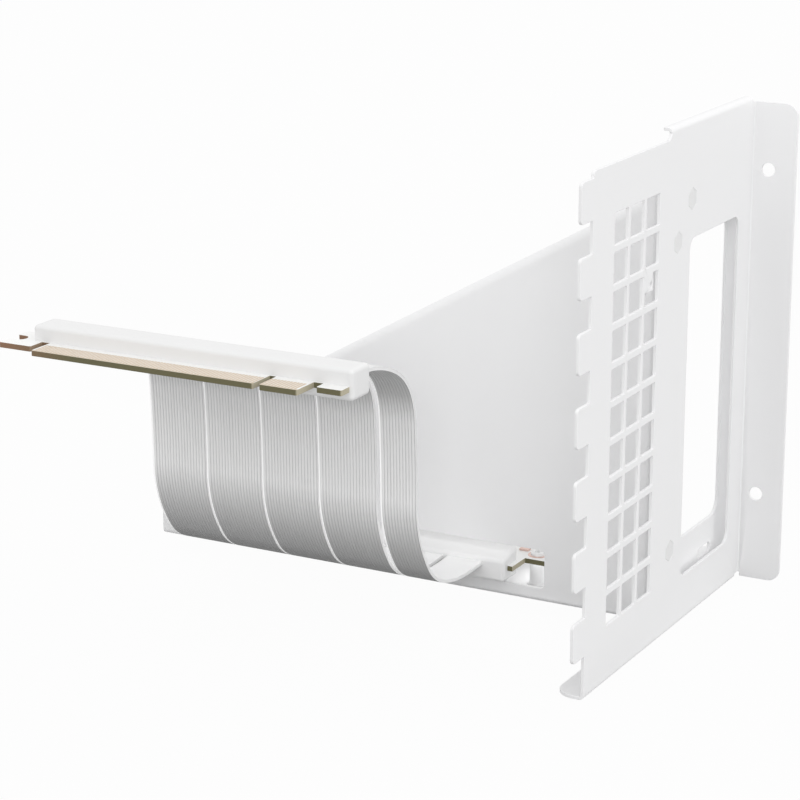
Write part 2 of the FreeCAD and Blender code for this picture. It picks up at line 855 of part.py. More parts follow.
def make_ribbons():
    """Five flat ribbons side by side along one route."""
    route = ribbon_route()
    arc_radii = route_radii(route)
    points, radii = strip_outline(route, arc_radii, ribbon_thickness)
    ribbons = {}
    left = ribbon_left_x
    for index, width in enumerate(ribbon_widths):
        profile = Part.Face(rounded_wire(points, radii, across_x(left)))
        ribbons[f"ribbon_{index + 1}"] = profile.extrude(FreeCAD.Vector(width, 0, 0))
        left += width
        if index < len(ribbon_gaps):
            left += ribbon_gaps[index]
    length = sum(math.dist(a, b) for a, b in zip(route, route[1:]))
    print("ribbon runs", round(length, 2), "arc radii", [round(r, 2) for r in arc_radii])
    print("ribbon length", round(profile.Area / ribbon_thickness, 2))
    return ribbons


# Edge plug

def make_plug_board():
    """The plug's board: key notch, guide tab and a hooked prong, with the edge to the front."""
    gap_back_y = bar_front_y - plug_gap_front
    hook_round = hook_round_share * (hook_slot_back_y - prong_back_y) / 2
    corners = [
        ((prong_left_x, prong_front_y), plug_tip_corner),
        ((prong_right_x, prong_front_y), plug_tip_corner),
        ((prong_right_x, gap_back_y), 0),
        ((plug_edge_left_x, gap_back_y), 0),
        ((plug_edge_left_x, plug_tip_y), plug_tip_corner),
        ((plug_key_x - key_width / 2, plug_tip_y), plug_tip_corner),
        ((plug_key_x - key_width / 2, gap_back_y), 0),
        ((plug_key_x + key_width / 2, gap_back_y), 0),
        ((plug_key_x + key_width / 2, plug_tip_y), plug_tip_corner),
        ((plug_edge_right_x, plug_tip_y), plug_tip_corner),
        ((plug_edge_right_x, gap_back_y), 0),
        ((tab_left_x, gap_back_y), 0),
        ((tab_left_x, tab_front_y), plug_tip_corner),
        ((tab_right_x, tab_front_y), plug_tip_corner),
        ((tab_right_x, plug_board_back_y), 0),
        ((prong_left_x, plug_board_back_y), plug_tip_corner),
        ((prong_left_x, hook_slot_back_y), plug_tip_corner),
        ((hook_slot_end_x, hook_slot_back_y), hook_round),
        ((hook_slot_end_x, prong_back_y), hook_round),
        ((prong_left_x, prong_back_y), plug_tip_corner),
    ]
    wire = rounded_wire([p for p, _ in corners], [r for _, r in corners], across_z(plug_board_bottom_z))
    return sheet([wire], FreeCAD.Vector(0, 0, board_thickness))


def make_plug_fingers(low_z):
    """One row of plated fingers on a face of the plug's board."""
    front = plug_tip_y + finger_tip_gap
    return Part.makeCompound(
        [
            Part.makeBox(
                finger_width,
                finger_length,
                finger_thickness,
                FreeCAD.Vector(x - finger_width / 2, front, low_z),
            )
            for x in contact_places(plug_key_x)
        ]
    )


def make_plug_bar(plug_board):
    """The moulded bar round the back of the plug's board."""
    low = FreeCAD.Vector(bar_left_x, bar_front_y, bar_bottom_z)
    high = FreeCAD.Vector(bar_right_x, bar_back_y, bar_top_z)
    return moulded_bar(low, high, bar_round, bar_lower_round, bar_round).cut(plug_board)


def make_pieces():
    """Every piece of the mount, by its name."""
    pieces = {"rear_plate": make_rear_plate(), "support_bracket": make_support_bracket()}
    board_holes = [(x, y) for x in board_hole_x for y in board_hole_y]
    pieces["plate_spacers"] = Part.makeCompound([make_plate_spacer(*p) for p in spacer_places.values()])
    pieces["spacer_screws"] = Part.makeCompound([make_spacer_screw(*p) for p in spacer_places.values()])
    pieces["board_standoffs"] = Part.makeCompound([make_board_standoff(*p) for p in board_holes])
    pieces["board_screws"] = Part.makeCompound([make_board_screw(*p) for p in board_holes])
    pieces["riser_board"] = make_riser_board()
    pieces["socket_housing"] = make_socket_housing()
    pieces["socket_contacts_front"] = make_socket_contacts(-1)
    pieces["socket_contacts_back"] = make_socket_contacts(1)
    pieces["cable_block"] = make_cable_block(pieces["riser_board"])
    pieces.update(make_ribbons())
    pieces["plug_board"] = make_plug_board()
    pieces["plug_fingers_top"] = make_plug_fingers(plug_board_top_z)
    pieces["plug_fingers_bottom"] = make_plug_fingers(plug_board_bottom_z - finger_thickness)
    pieces["plug_bar"] = make_plug_bar(pieces["plug_board"])
    return pieces


os.makedirs("parts", exist_ok=True)
for node, shape in make_pieces().items():
    shape.translate(origin * -1)
    shape.exportStep(os.path.join("parts", f"{node}.step"))
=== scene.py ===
"""Dresses a vertical graphics card mount: painted sheet metal with soft folds and edges, white
boards with bare laminate edges, a comb-walled card socket, screws, and a ribbed ribbon cable
with its moulded ends. Metres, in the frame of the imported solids."""

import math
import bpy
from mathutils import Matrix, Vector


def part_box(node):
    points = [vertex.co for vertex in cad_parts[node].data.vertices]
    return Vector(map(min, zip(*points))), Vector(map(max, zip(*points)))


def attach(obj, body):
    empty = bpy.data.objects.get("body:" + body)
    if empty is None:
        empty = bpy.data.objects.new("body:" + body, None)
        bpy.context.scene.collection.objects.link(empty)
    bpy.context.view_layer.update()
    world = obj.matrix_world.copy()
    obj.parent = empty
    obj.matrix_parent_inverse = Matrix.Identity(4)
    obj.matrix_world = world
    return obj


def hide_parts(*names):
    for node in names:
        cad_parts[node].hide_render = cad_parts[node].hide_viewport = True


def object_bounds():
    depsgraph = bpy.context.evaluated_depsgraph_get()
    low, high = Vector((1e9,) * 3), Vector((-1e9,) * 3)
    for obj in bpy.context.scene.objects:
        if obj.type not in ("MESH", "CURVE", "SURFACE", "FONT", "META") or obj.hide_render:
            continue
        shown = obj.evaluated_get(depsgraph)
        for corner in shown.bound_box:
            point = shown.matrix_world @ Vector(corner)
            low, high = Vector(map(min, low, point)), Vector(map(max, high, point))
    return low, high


bl_info = {
    "name": "Vertical Card Mount",
    "version": (1, 0, 0),
    "blender": (4, 5, 0),
    "location": "3D View > Sidebar > Card Mount",
    "description": "Builds the looks of a vertical graphics card mount on its packed solids",
    "category": "Object",
}

import bmesh
import bpy
from mathutils import Vector

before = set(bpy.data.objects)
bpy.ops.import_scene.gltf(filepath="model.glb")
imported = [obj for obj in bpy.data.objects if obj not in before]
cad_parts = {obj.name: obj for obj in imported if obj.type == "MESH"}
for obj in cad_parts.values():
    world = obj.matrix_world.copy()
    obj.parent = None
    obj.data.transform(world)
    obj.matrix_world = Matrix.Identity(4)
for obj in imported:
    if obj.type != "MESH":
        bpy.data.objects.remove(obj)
CAD_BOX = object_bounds()

BODY = "root"
MERGE_DISTANCE = 0.000004
SHARP_ANGLE = math.radians(32.0)
RIB_ANGLE = math.radians(50.0)
EDGE_STEPS = 2
BAR_STEPS = 6
LEVEL_FACE = 0.9

# Screws: head heights, shank, sides of the turned shape, and how far each is spun by chance
BOARD_SCREW_HEAD = 0.0011
SPACER_SCREW_HEAD = 0.0018
SHANK_RADIUS = 0.00146
SHANK_TIP = 0.0003
SCREW_SIDES = 32
SCREW_SPIN = math.pi / 2.0
SCREW_SEED = 4

# Screw head: its profile as shares of radius and height, and its cross recess in such shares
HEAD_PROFILE = ((1.0, 0.0), (1.0, 0.45), (0.93, 0.74), (0.8, 0.9), (0.62, 1.0), (0.0, 1.0))
RECESS_ARM = 0.56
RECESS_THIN = 0.16
RECESS_TAPER = ((0.55, 0.35), (1.12, 1.2))

# Rings round the riser board's holes, and the pad beside the right front one
RING_HOLE_RADIUS = 0.0018
RING_EDGE = 0.0001
RING_SIDES = 40
PAD_OFFSET = Vector((-0.0070, 0.0012, 0.0))
PAD_SIZE = Vector((0.003, 0.0022, 0.0006))
PAD_EDGE = 0.0001

# Card socket: from an end contact's middle to the cavity's end and to the key, and its teeth
CAVITY_END = 0.00125
CAVITY_KEY = 0.0006
TOOTH_ROOT = 0.0002
TOOTH_LEAD = 0.0004
TOOTH_DROP = 0.0001

# Edge plug: contact width, bare board round the contacts, and where its left end turns red
FINGER_WIDTH = 0.0007
FINGER_TIP_STEPS = 6
BARE_SIDE = 0.001
BARE_FRONT = 0.0003
RED_END = -0.138

RIBBONS = ("ribbon_1", "ribbon_2", "ribbon_3", "ribbon_4", "ribbon_5")

# Middle line of every ribbon, from the cable block to the plug bar, as (y, z)
RIBBON_ROUTE = (
    (-0.06544, -0.0636),
    (-0.0912, -0.0657),
    (-0.1069, -0.0446),
    (-0.1069, -0.0216),
    (-0.1086, 0.0040),
    (-0.1320, 0.0146),
    (-0.1459, 0.0126),
)
RIBBON_THICKNESS = 0.001

# Height at which the ribbons' lower bend begins; below it the painted bend shade on the wires
# grows to full strength and the inner face turns to the full film colour
LOOP_TOP = -0.02

# Stage: half width of the floor, and each lamp's place or offset from what it lights, and size
FLOOR_REACH = 6.0
LAMP_TARGET = Vector((-0.06, -0.05, 0.0))
FRONT_OFFSET = 1.2 * Vector((0.42, -0.87, 0.25)).normalized()
FRONT_SIZE = (0.5, 0.5)
SIDE_OFFSET = 1.3 * Vector((0.94, -0.05, 0.34)).normalized()
SIDE_SIZE = (0.8, 0.8)
FILL_OFFSET = Vector((-0.009, 0.017, -0.0001))
FILL_SIZE = (0.016, 0.016)
GAP_PLACE = Vector((-0.0063, -0.0042, -0.0137))
GAP_SIZE = (0.0065, 0.1)
SILL_PLACE = Vector((-0.0063, -0.0235, -0.0680))
SILL_SIZE = (0.044, 0.0075)

WHITE = (1.0, 1.0, 1.0, 1.0)
BLACK = (0.0, 0.0, 0.0, 1.0)
UP = (0.0, 0.0, 1.0)
OUTWARD = (1.0, 0.0, 0.0)


# Node trees

class Wire:
    """One output socket of a node; arithmetic on it adds Math nodes to its tree."""

    def __init__(self, graph, socket):
        self.graph = graph
        self.socket = socket

    def out(self, name):
        """Another output of the same node."""
        return Wire(self.graph, self.socket.node.outputs[name])

    def math(self, operation, other=0.0, swapped=False):
        """A Math node on this value and another."""
        first, second = (other, self) if swapped else (self, other)
        return self.graph.node("ShaderNodeMath", {"operation": operation}, {0: first, 1: second})

    def __add__(self, other):
        return self.math("ADD", other)

    def __radd__(self, other):
        return self.math("ADD", other, True)

    def __sub__(self, other):
        return self.math("SUBTRACT", other)

    def __rsub__(self, other):
        return self.math("SUBTRACT", other, True)

    def __mul__(self, other):
        return self.math("MULTIPLY", other)

    def __rmul__(self, other):
        return self.math("MULTIPLY", other, True)

    def __truediv__(self, other):
        return self.math("DIVIDE", other)

    def __mod__(self, other):
        return self.math("FLOORED_MODULO", other)

    def __lt__(self, other):
        return self.math("LESS_THAN", other)

    def __gt__(self, other):
        return self.math("GREATER_THAN", other)


class Graph:
    """A shader or geometry node tree that is being built."""

    def __init__(self, tree):
        self.tree = tree

    def node(self, kind, options=None, sockets=None, output=0):
        """Adds a node, sets it up, fills or links its sockets and returns one output."""
        made = self.tree.nodes.new(kind)
        for name, value in (options or {}).items():
            setattr(made, name, value)
        for key, value in (sockets or {}).items():
            if isinstance(value, Wire):
                self.tree.links.new(value.socket, made.inputs[key])
            else:
                made.inputs[key].default_value = value
        return Wire(self, made.outputs[output]) if len(made.outputs) else None

    def blend(self, share, first, second):
        """A colour between two colours."""
        mix = {"data_type": "RGBA", "clamp_factor": True}
        return self.node("ShaderNodeMix", mix, {0: share, 6: first, 7: second}, 2)

    def noise(self, place, scale, detail):
        """Noise from 0 to 1, with a scale in cycles a metre."""
        sockets = {"Vector": place, "Scale": scale, "Detail": detail}
        return self.node("ShaderNodeTexNoise", None, sockets, "Fac")

    def bump(self, height, distance, strength):
        """A normal that follows a height from 0 to 1."""
        sockets = {"Height": height, "Distance": distance, "Strength": strength}
        return self.node("ShaderNodeBump", None, sockets, "Normal")

    def part(self, vector, axis):
        """One axis of a vector; its other axes are further outputs of the same node."""
        return self.node("ShaderNodeSeparateXYZ", None, {"Vector": vector}, axis)

    def attribute(self, name):
        """A value that the mesh keeps at its points."""
        return self.node("ShaderNodeAttribute", {"attribute_name": name}, None, "Fac")

    def drawn_out(self, place, share):
        """Coordinates that change less along y and z, for streaks that run that way."""
        scale = (1.0, share, share)
        return self.node("ShaderNodeMapping", None, {"Vector": place, "Scale": scale})


def opaque(colour, shade=1.0):
    """A colour property as a shader colour, darkened by a shade."""
    return (colour[0] * shade, colour[1] * shade, colour[2] * shade, 1.0)


def start_finish(name):
    """An empty material, its graph and its Object coordinates."""
    material = bpy.data.materials.new(name)
    material.use_nodes = True
    material.node_tree.nodes.clear()
    graph = Graph(material.node_tree)
    return material, graph, graph.node("ShaderNodeTexCoord", output="Object")


def settings():
    """The mount's settings in the current scene."""
    return bpy.context.scene.card_mount


# Finishes: each gives the values of its Principled shader

def powder_paint(graph, place, colour):
    """White powder coat: fine orange peel, faint clouding."""
    cloud = graph.noise(place, 45.0, 3.0)
    peel = graph.noise(place, 900.0, 2.0)
    grain = graph.noise(place, 3600.0, 1.0)
    return {
        "Base Color": graph.blend(cloud, opaque(colour, 0.985), opaque(colour)),
        "Roughness": 0.44 + 0.1 * cloud + 0.05 * grain,
        "Normal": graph.bump(0.7 * peel + 0.3 * grain, 0.00004, 0.35),
    }


def fastener_paint(graph, place, colour):
    """Painted steel of spacers, standoffs and screws; the riser board's are the paler ones."""
    cloud = graph.noise(place, 400.0, 3.0)
    return {
        "Base Color": graph.blend(cloud, opaque(colour, 0.96), opaque(colour)),
        "Roughness": 0.32 + 0.16 * cloud,
        "Normal": graph.bump(graph.noise(place, 2600.0, 2.0), 0.00003, 0.3),
    }


def moulded_plastic(graph, place, colour):
    """White moulding: satin, finely grained; the cable block is paler than the rest."""
    cloud = graph.noise(place, 60.0, 3.0)
    grain = graph.noise(place, 5200.0, 2.0)
    return {
        "Base Color": graph.blend(cloud, opaque(colour, 0.98), opaque(colour)),
        "Roughness": 0.36 + 0.14 * grain,
        "Normal": graph.bump(grain, 0.00002, 0.3),
    }


def board_mask(graph, place, colour):
    """White lacquer over a board's faces, glossy, with the faint relief of its tracks; the
    plug's front edge is bare."""
    finishes = settings().finishes
    wave = {"wave_type": "BANDS", "bands_direction": "X", "wave_profile": "SAW"}
    tracks = graph.node("ShaderNodeTexWave", wave, {"Vector": place, "Scale": 160.0}, "Fac")
    cloud = graph.noise(place, 120.0, 3.0)
    low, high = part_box("plug_fingers_top")
    depth = graph.part(place, "Y")
    side = depth.out("X")
    across = (side > low.x - BARE_SIDE) * (side < high.x + BARE_SIDE)
    bare = across * (depth < low.y + BARE_FRONT)
    lacquer = graph.blend(cloud, opaque(colour, 0.97), opaque(colour))
    return {
        "Base Color": graph.blend(bare, lacquer, opaque(finishes.bare)),
        "Roughness": 0.24 + 0.12 * cloud,
        "Normal": graph.bump(tracks, 0.00001, 0.15),
    }


def board_laminate(graph, place, colour):
    """Bare cut edge of a board: dark glass layers, painted lighter where the edge faces right, red
    at the left end.
    """
    finishes = settings().finishes
    height = graph.part(place, "Z")
    layers = (height * 26000.0).math("SINE") * 0.5 + 0.5
    fibre = graph.noise(place, 1500.0, 3.0)
    painted_light_from_right = graph.part(graph.node("ShaderNodeNewGeometry", output="Normal"), "X")
    near_left = (RED_END - height.out("X")) * 40.0
    dark = graph.blend(layers, opaque(colour, 0.7), opaque(colour))
    # Painted light: edges that turn to the right, as if lit from that side, are painted paler
    cut = graph.blend((painted_light_from_right - 0.2) * 1.4, dark, opaque(finishes.right_lit_edge))
    return {
        "Base Color": graph.blend(near_left, cut, opaque(finishes.tip)),
        "Roughness": 0.55 + 0.25 * fibre,
        "Normal": graph.bump(fibre, 0.00004, 0.4),
    }


def plated_gold(graph, place, colour):
    """Thin hard gold on contacts: brushed along the contact, slightly cloudy."""
    brush = graph.noise(graph.drawn_out(place, 0.04), 9000.0, 2.0)
    cloud = graph.noise(place, 300.0, 3.0)
    return {
        "Base Color": graph.blend(cloud, opaque(colour, 0.92), opaque(colour)),
        "Metallic": 0.1,
        "Roughness": 0.28 + 0.18 * brush,
        "Normal": graph.bump(brush, 0.00001, 0.2),
    }


def bare_copper(graph, place, colour):
    """Pink plated copper of pads and rings."""
    cloud = graph.noise(place, 700.0, 3.0)
    return {
        "Base Color": graph.blend(cloud, opaque(colour, 0.88), opaque(colour)),
        "Metallic": 0.6,
        "Roughness": 0.26 + 0.2 * cloud,
    }


def ribbon_jacket(graph, place, colour):
    """Flat cable: white film with a painted glow along its right edge, and satin grey wires with
    painted shade in their grooves and where the ribbon turns up or down, most in the lower bend."""
    finishes = settings().finishes
    streak = graph.noise(graph.drawn_out(place, 0.02), 1900.0, 2.0)
    grain = graph.noise(place, 2600.0, 2.0)
    ridge = graph.attribute("ridge")
    film = graph.attribute("film")
    rise = graph.part(graph.node("ShaderNodeNewGeometry", output="Normal"), "Z")
    height = graph.part(place, "Z")
    lower = ((LOOP_TOP - height) * 60.0).math("MAXIMUM", 0.0).math("MINIMUM", 1.0)
    # Painted shade: the wires darken as they turn up or down, fully only in the lower bend
    painted_bend_shade = rise.math("ABSOLUTE").math("MINIMUM", 0.42 + 0.58 * lower)
    # Painted shade: the grooves between the wires are darker than their crests; the streaks are
    # the jacket's own tone
    groove_shade_and_streak = 0.82 * ridge + 0.36 * (streak - 0.5) + 0.1
    flat = graph.blend(groove_shade_and_streak, opaque(colour, 0.62), opaque(colour))
    wires = graph.blend(painted_bend_shade, flat, opaque(colour, 0.02))
    # Edge mask: the white film along the right edge, which also carries the painted glow
    edge = film * 5.0 - 4.0
    inner = graph.blend(lower, opaque(finishes.film, 0.8), opaque(finishes.film))
    white = graph.blend(edge, inner, opaque(finishes.film))
    return {
        "Base Color": graph.blend(film * 1.25, wires, white),
        # Painted glow: the film along the right edge gives off a little light of its own
        "Emission Color": graph.blend(edge, BLACK, opaque(finishes.film)),
        "Emission Strength": 0.16,
        "Roughness": 0.4 + 0.12 * streak,
        "Normal": graph.bump(grain, 0.00001, 0.2),
    }


# Every finish by name, with what builds it and the setting of its main colour
FINISHES = {
    "powder_paint": (powder_paint, "paint"),
    "fastener_paint": (fastener_paint, "fastener"),
    "screw_paint": (fastener_paint, "screw"),
    "moulded_plastic": (moulded_plastic, "plastic"),
    "moulded_block": (moulded_plastic, "block"),
    "board_mask": (board_mask, "mask"),
    "board_laminate": (board_laminate, "laminate"),
    "plated_gold": (plated_gold, "gold"),
    "bare_copper": (bare_copper, "copper"),
    "ribbon_jacket": (ribbon_jacket, "jacket"),
}


def kept(name):
    """A finish that is built once and then shared."""
    found = bpy.data.materials.get(name)
    if found:
        return found
    build, colour = FINISHES[name]
    material, graph, place = start_finish(name)
    values = build(graph, place, getattr(settings().finishes, colour))
    shader = graph.node("ShaderNodeBsdfPrincipled", None, values)
    graph.node("ShaderNodeOutputMaterial", None, {"Surface": shader})
    return material


# Pieces

def new_piece(name, mesh):
    """An object at the origin for a mesh."""
    piece = bpy.data.objects.new(name, mesh)
    bpy.context.scene.collection.objects.link(piece)
    return piece


def mesh_of(name, points, faces=()):
    """A mesh from its points and faces."""
    mesh = bpy.data.meshes.new(name)
    mesh.from_pydata([tuple(point) for point in points], [], [tuple(face) for face in faces])
    return mesh


def lofted(*loops):
    """Points and faces of a closed shape through loops of equally many points."""
    count = len(loops[0])
    points = [point for loop in loops for point in loop]
    last = len(points) - count
    faces = [tuple(reversed(range(count))), tuple(range(last, last + count))]
    for start in range(0, last, count):
        for i in range(count):
            here, after = start + i, start + (i + 1) % count
            faces.append((here, after, after + count, here + count))
    return points, faces


def removed(piece):
    """Takes a helper and its mesh away."""
    mesh = piece.data
    bpy.data.objects.remove(piece)
    bpy.data.meshes.remove(mesh)


def baked(piece):
    """The piece with its modifiers turned into plain mesh."""
    bpy.context.view_layer.update()
    evaluated = piece.evaluated_get(bpy.context.evaluated_depsgraph_get())
    mesh = bpy.data.meshes.new_from_object(evaluated)
    rough = piece.data
    piece.modifiers.clear()
    piece.data = mesh
    bpy.data.meshes.remove(rough)
    if not mesh.polygons:
        raise RuntimeError(f"{piece.name} has no faces")
    return piece


def joined_to_frame(piece, slot, *nodes):
    """Lets a piece ride on the mount and hides the solids it stands for; the slot argument is not
    used.
    """
    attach(piece, BODY)
    if nodes:
        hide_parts(*nodes)
    return piece


def soften(piece, edge_round):
    """Rounds a piece's sharp edges and shades its curved faces smooth."""
    piece.data.shade_smooth()
    bevel = piece.modifiers.new("soft_edges", "BEVEL")
    bevel.width = edge_round
    bevel.segments = EDGE_STEPS
    bevel.limit_method = "ANGLE"
    bevel.angle_limit = SHARP_ANGLE
    bevel.use_clamp_overlap = False
    bevel.loop_slide = False
    bevel.harden_normals = True
    bevel.miter_outer = "MITER_ARC"
    return baked(piece)


def merged_copy(node, name):
    """A copy of a solid's mesh with its loose triangles joined at their corners."""
    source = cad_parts[node].data
    points = [vertex.co for vertex in source.vertices]
    mesh = mesh_of(name, points, [face.vertices for face in source.polygons])
    shape = bmesh.new()
    shape.from_mesh(mesh)
    bmesh.ops.remove_doubles(shape, verts=shape.verts, dist=MERGE_DISTANCE)
    shape.to_mesh(mesh)
    shape.free()
    return new_piece(name, mesh)


def solid_boxes(node):
    """(lowest corner, highest corner) of every separate solid in a node."""
    shape = bmesh.new()
    shape.from_mesh(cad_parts[node].data)
    bmesh.ops.remove_doubles(shape, verts=shape.verts, dist=MERGE_DISTANCE)
    boxes = []
    waiting = set(shape.verts)
    while waiting:
        reached = {waiting.pop()}
        edge = list(reached)
        while edge:
            near = {link.other_vert(vertex) for vertex in edge for link in vertex.link_edges}
            edge = near - reached
            reached |= edge
        waiting -= reached
        spans = [[vertex.co[axis] for vertex in reached] for axis in range(3)]
        boxes.append((Vector(map(min, spans)), Vector(map(max, spans))))
    shape.free()
    return sorted(boxes, key=lambda box: (-round(box[0].x, 4), box[0].y, box[0].z))


def soft_copy(node, name, edge_round, material, slot):
    """A soft-edged copy of a solid that stands for it."""
    piece = soften(merged_copy(node, name), edge_round)
    piece.data.materials.append(material)
    return joined_to_frame(piece, slot, node)


def soft_board(node, name):
    """A soft-edged copy of a board, with lacquered faces and bare edges."""
    mask = kept("board_mask")
    board = soft_copy(node, name, settings().sizes.board_edge, mask, "white_board")
    board.data.materials.append(kept("board_laminate"))
    for face in board.data.polygons:
        face.material_index = 0 if abs(face.normal.z) > LEVEL_FACE else 1


def rings(name, profile, steps):
    """A turned mesh from (radius, height) points; a zero radius closes the shape."""
    points = []
    rows = []
    for radius, height in profile:
        row = []
        for step in range(steps if radius > 0.0 else 1):
            turn = 2.0 * math.pi * step / steps
            row.append(len(points))
            points.append((radius * math.cos(turn), radius * math.sin(turn), height))
        rows.append(row)
    faces = []
    for low, high in zip(rows, rows[1:]):
        for step in range(steps):
            after = (step + 1) % steps
            corner = [low[step % len(low)], low[after % len(low)],
                      high[after % len(high)], high[step % len(high)]]
            faces.append(list(dict.fromkeys(corner)))
    return mesh_of(name, points, faces)


def box_mesh(name, low, high):
    """A box between two corners."""
    points = [(x, y, z) for z in (low[2], high[2]) for y in (low[1], high[1])
              for x in (low[0], high[0])]
    faces = ((0, 2, 3, 1), (4, 5, 7, 6), (0, 1, 5, 4), (2, 6, 7, 3), (0, 4, 6, 2), (1, 3, 7, 5))
    return mesh_of(name, points, faces)


def rounded_bar(name, node, edge_round, rise=0.0):
    """A moulded bar in a solid's place, rounded on every edge; its top may rise to the back."""
    low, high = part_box(node)
    piece = new_piece(name, box_mesh(name, low, high))
    # The last two points are the top's back edge
    for vertex in piece.data.vertices[-2:]:
        vertex.co.z += rise
    bevel = piece.modifiers.new("moulded_edges", "BEVEL")
    bevel.width = edge_round
    bevel.segments = BAR_STEPS
    bevel.harden_normals = True
    piece.data.shade_smooth()
    return baked(piece)


def row_places(node):
    """Middles, along x, of the separate contacts in a row of them."""
    return sorted((low.x + high.x) / 2.0 for low, high in solid_boxes(node))


def split_rows(places, pitch):
    """A row's places on each side of its key."""
    rows = [[places[0]]]
    for before, place in zip(places, places[1:]):
        if place - before > 1.5 * pitch:
            rows.append([])
        rows[-1].append(place)
    return rows


# Geometry trees

def start_tree(name, inputs):
    """A geometry tree with named inputs, its graph and its input node's outputs by name."""
    tree = bpy.data.node_groups.new(name, "GeometryNodeTree")
    tree.interface.new_socket("Geometry", in_out="OUTPUT", socket_type="NodeSocketGeometry")
    tree.interface.new_socket("Geometry", in_out="INPUT", socket_type="NodeSocketGeometry")
    for label, kind in inputs:
        tree.interface.new_socket(label, in_out="INPUT", socket_type=kind)
    graph = Graph(tree)
    return tree, graph, graph.node("NodeGroupInput", output="Geometry")


def end_tree(graph, geometry, finish):
    """Closes a geometry tree with plain faces in one finish."""
    real = graph.node("GeometryNodeRealizeInstances", None, {"Geometry": geometry})
    dressed = graph.node("GeometryNodeSetMaterial", None, {"Geometry": real, "Material": finish})
    graph.node("NodeGroupOutput", None, {"Geometry": dressed})


def grown(piece, tree, values):
    """The piece after a geometry tree has run on it with these input values."""
    modifier = piece.modifiers.new(tree.name, "NODES")
    modifier.node_group = tree
    for item in tree.interface.items_tree:
        if item.item_type == "SOCKET" and item.in_out == "INPUT" and item.name in values:
            modifier[item.identifier] = values[item.name]
    return baked(piece)


def shapes_on_points():
    """Tree that sets one shape on every point, turned alike and then spun by chance."""
    found = bpy.data.node_groups.get("shapes_on_points")
    if found:
        return found
    tree, graph, start = start_tree("shapes_on_points", (
        ("Shape", "NodeSocketObject"),
        ("Turn", "NodeSocketVector"),
        ("Spin", "NodeSocketFloat"),
        ("Seed", "NodeSocketInt"),
        ("Finish", "NodeSocketMaterial"),
    ))
    shape = graph.node(
        "GeometryNodeObjectInfo", None, {"Object": start.out("Shape")}, "Geometry")
    placed = graph.node("GeometryNodeInstanceOnPoints", None, {
        "Points": start, "Instance": shape, "Rotation": start.out("Turn")})
    chance = graph.node("FunctionNodeRandomValue", {"data_type": "FLOAT"}, {
        2: 0.0 - start.out("Spin"), 3: start.out("Spin"), "Seed": start.out("Seed")}, 1)
    spin = graph.node("ShaderNodeCombineXYZ", None, {"Z": chance})
    spun = graph.node("GeometryNodeRotateInstances", None, {
        "Instances": placed, "Rotation": spin, "Local Space": True})
    end_tree(graph, spun, start.out("Finish"))
    return tree


def repeated(name, shape_mesh, places, material, turn=(0.0, 0.0, 0.0), spin=0.0, seed=1):
    """One shape repeated on a list of places."""
    shape = new_piece(name + "_shape", shape_mesh)
    piece = grown(new_piece(name, mesh_of(name, places)), shapes_on_points(), {
        "Shape": shape, "Turn": turn, "Spin": spin, "Seed": seed, "Finish": material})
    removed(shape)
    return piece


def ribbed_ribbon():
    """Tree that sweeps a flat, ribbed section along a line of points."""
    found = bpy.data.node_groups.get("ribbed_ribbon")
    if found:
        return found
    tree, graph, start = start_tree("ribbed_ribbon", (
        ("Width", "NodeSocketFloat"),
        ("Thickness", "NodeSocketFloat"),
        ("Groove", "NodeSocketFloat"),
        ("Margin", "NodeSocketFloat"),
        ("Ribs", "NodeSocketInt"),
        ("Rib Steps", "NodeSocketInt"),
        ("Finish", "NodeSocketMaterial"),
    ))
    ribs = start.out("Ribs")
    faces = ribs * start.out("Rib Steps")
    # Each side of the section has a point more than its faces, and one for each margin
    side_count = faces + 3.0
    loop = graph.node("GeometryNodeCurvePrimitiveCircle", {"mode": "RADIUS"}, {
        "Resolution": side_count * 2.0, "Radius": 0.01})
    index = graph.node("GeometryNodeInputIndex")
    along = (index % side_count - 1.0) / faces
    outer = index < side_count
    facing = outer * 2.0 - 1.0
    between = along.math("MAXIMUM", 0.0).math("MINIMUM", 1.0)
    margin = start.out("Margin")
    beyond = (along - between).math("SIGN") * margin
    across = (between - 0.5) * (start.out("Width") - 2.0 * margin) + beyond
    phase = (between * ribs) % 1.0 * 2.0 - 1.0
    round_rib = (1.0 - phase * phase).math("MAXIMUM", 0.0).math("SQRT")
    past = (along - between).math("ABSOLUTE").math("SIGN")
    flat = past.math("MAXIMUM", 1.0 - outer)
    # Ridge is 1 on the crests, the margins and the inner face and sinks into the grooves; the
    # jacket paints shade in the grooves from it
    ridge = round_rib.math("MAXIMUM", flat)
    # Film is 0 on the wires, 0.8 on the inner face and 1 along the right edge, where the jacket
    # also paints a glow
    film = (0.8 - 0.8 * outer).math("MAXIMUM", outer * (along > 0.9999))
    half = start.out("Thickness") * 0.5 - start.out("Groove") * (1.0 - ridge)
    section = graph.node("GeometryNodeSetPosition", None, {
        "Geometry": loop,
        "Position": graph.node("ShaderNodeCombineXYZ", None, {
            "X": across * facing, "Y": half * facing}),
    })
    marked = section
    for label, value in (("ridge", ridge), ("film", film)):
        marked = graph.node("GeometryNodeStoreNamedAttribute", {
            "data_type": "FLOAT", "domain": "POINT"}, {
            "Geometry": marked, "Name": label, "Value": value})
    line = graph.node("GeometryNodeMeshToCurve", None, {"Mesh": start})
    upright = graph.node("GeometryNodeSetCurveNormal", {"mode": "Z_UP"}, {"Curve": line})
    swept = graph.node("GeometryNodeCurveToMesh", None, {
        "Curve": upright, "Profile Curve": marked, "Fill Caps": True})
    smooth = graph.node("GeometryNodeSetShadeSmooth", None, {"Geometry": swept})
    end_tree(graph, smooth, start.out("Finish"))
    return tree


# Settings

